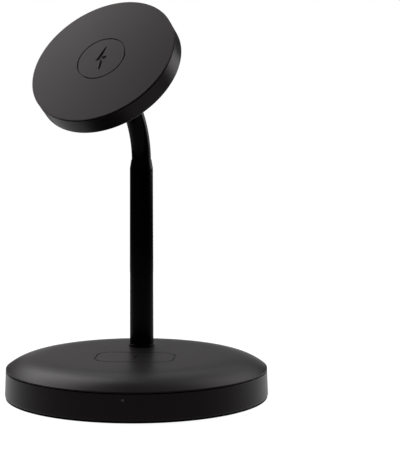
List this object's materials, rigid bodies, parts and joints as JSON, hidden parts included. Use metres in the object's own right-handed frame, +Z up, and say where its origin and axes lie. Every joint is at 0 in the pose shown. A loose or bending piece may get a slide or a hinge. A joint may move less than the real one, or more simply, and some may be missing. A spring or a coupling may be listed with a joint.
{
  "type": "wireless charging stand",
  "caption": "Two-in-one wireless charging stand: round weighted base with an earbud pad, slim post with a swivelling bent neck, and a round magnetic head on a ball joint.",
  "frame": {"origin": "centre of the footprint, on the surface the stand rests on", "axes": "+Z up along the post, -Y towards the front of the base, +X to the right seen from the front"},
  "size_m": [0.1048, 0.1048, 0.156],
  "materials": {
    "shell_black": "fine satin texture",
    "face_black": "soft satin",
    "post_black": "smooth satin paint",
    "foot_rubber": "matte",
    "weight_iron": "bare, oiled",
    "plain_steel": "plain",
    "board": "solder mask",
    "chip_black": "moulded",
    "lamp_white": "moulded",
    "lamp_window": "smoked clear",
    "copper": "enamelled wire",
    "ferrite": "sintered",
    "natural_plastic": "natural",
    "lead_black": "sheath",
    "magnet": "nickel plated"
  },
  "bodies": {
    "base": {"base_housing": "shell_black", "base_top_cover": "shell_black", "foot_ring": "foot_rubber", "base_weight": "weight_iron", "base_screws": "plain_steel", "main_board": "board", "board_parts": "chip_black", "board_screws": "plain_steel", "usb_c_shell": "plain_steel", "usb_c_tongue": "chip_black", "status_lamp": "lamp_white", "lamp_window": "lamp_window", "earbud_coil": "copper", "earbud_ferrite": "ferrite", "coil_tray": "natural_plastic", "post": "post_black", "post_collar": "post_black", "post_washer": "plain_steel", "post_nut": "plain_steel", "swivel_bush": "natural_plastic", "base_lead": "lead_black"},
    "neck": {"neck_tube": "post_black", "swivel_washer": "natural_plastic", "neck_clip": "plain_steel", "neck_lead": "lead_black"},
    "ball": {"ball_stud": "plain_steel"},
    "liner": {"ball_liner": "natural_plastic"},
    "head": {"head_rear_housing": "shell_black", "ball_cap": "natural_plastic", "cap_screws": "plain_steel", "head_board": "board", "magnet_carrier": "natural_plastic", "magnet_backplate": "plain_steel", "magnet_ring": "magnet", "head_ferrite": "ferrite", "head_coil": "copper", "head_thermistor": "lamp_white", "head_lead": "lead_black", "head_face_plate": "face_black"}
  },
  "joints": [
    {"name": "neck_swivel", "type": "hinge", "parent": "base", "child": "neck", "pos_m": [0, 0.0202, 0.09], "axis": [0, 0, 1], "range_deg": [-124, 176]},
    {"name": "ball_turn", "type": "hinge", "parent": "neck", "child": "ball", "pos_m": [-0.00864, 0.00249, 0.12505], "axis": [-0.3358, -0.6885, 0.6428], "range_deg": [-180, 180]},
    {"name": "head_tilt", "type": "hinge", "parent": "ball", "child": "liner", "pos_m": [-0.00864, 0.00249, 0.12505], "axis": [0.8988, -0.4384, 0], "range_deg": [-15, 15]},
    {"name": "head_pan", "type": "hinge", "parent": "liner", "child": "head", "pos_m": [-0.00864, 0.00249, 0.12505], "axis": [0.2818, 0.5777, 0.766], "range_deg": [-15, 15]}
  ]
}
